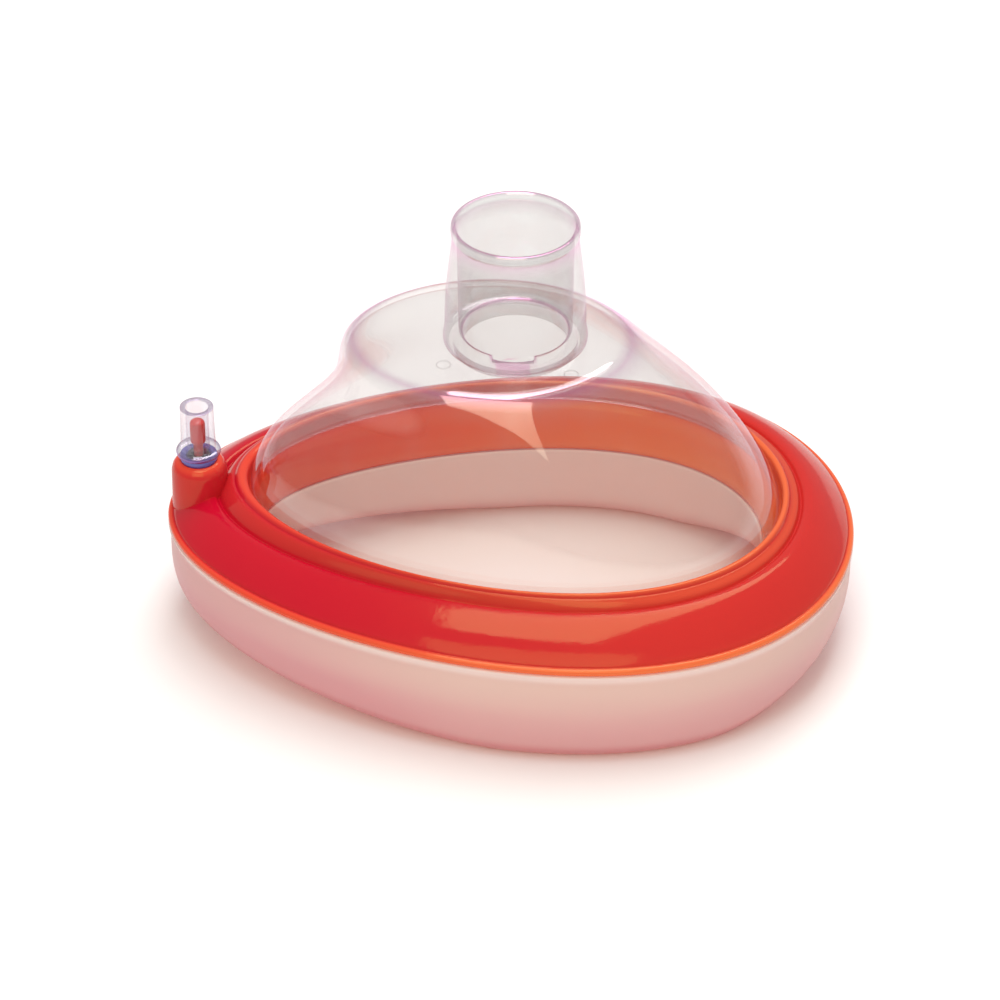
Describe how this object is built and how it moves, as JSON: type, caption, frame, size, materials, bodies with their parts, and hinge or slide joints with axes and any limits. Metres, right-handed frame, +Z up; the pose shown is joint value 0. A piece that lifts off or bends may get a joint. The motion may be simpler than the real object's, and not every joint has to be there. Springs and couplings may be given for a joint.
{
  "type": "bag valve mask face mask",
  "caption": "Clear domed resuscitator face mask with a round socket on top, a soft inflatable cushion with an orange upper half, and a sprung inflation valve at the nose.",
  "frame": {"origin": "on the table plane, under the middle of the cushion's length and width", "axes": "+X from the nose end to the chin end, +Y to the mask's left cheek seen from above with the nose at the left, +Z up along the socket's axis, away from the face"},
  "size_m": [0.1348, 0.0988, 0.0907],
  "materials": {
    "collar_pvc": "glossy soft translucent orange vinyl",
    "membrane_pvc": "thin soft translucent vinyl, faint pink",
    "dome_clear": "glossy water-clear moulded plastic",
    "socket_clear": "glossy clear moulded plastic",
    "valve_base_blue": "translucent blue moulded plastic",
    "valve_clear": "clear moulded plastic",
    "plunger_red": "satin red moulded plastic",
    "seal_rubber": "matt black rubber",
    "spring_steel": "drawn stainless wire"
  },
  "bodies": {
    "face_cushion": {"cushion_membrane": "membrane_pvc"},
    "mask_shell": {"cushion_collar": "collar_pvc", "dome_shell": "dome_clear", "connector_socket": "socket_clear", "valve_base": "valve_base_blue", "valve_body": "valve_clear", "valve_spring": "spring_steel"},
    "plunger": {"valve_plunger": "plunger_red", "valve_seal": "seal_rubber"}
  },
  "joints": [
    {"name": "cushion_press", "type": "slide", "parent": "face_cushion", "child": "mask_shell", "axis": [0, 0, 1], "range_m": [-0.005, 0], "stiffness_N_per_m": 1500, "springref_m": 0.001, "deforming": ["cushion_membrane"]},
    {"name": "plunger_push", "type": "slide", "parent": "mask_shell", "child": "plunger", "axis": [0, 0, 1], "range_m": [-0.0013, 0], "stiffness_N_per_m": 150, "springref_m": 0.002, "deforming": ["valve_spring"]}
  ]
}
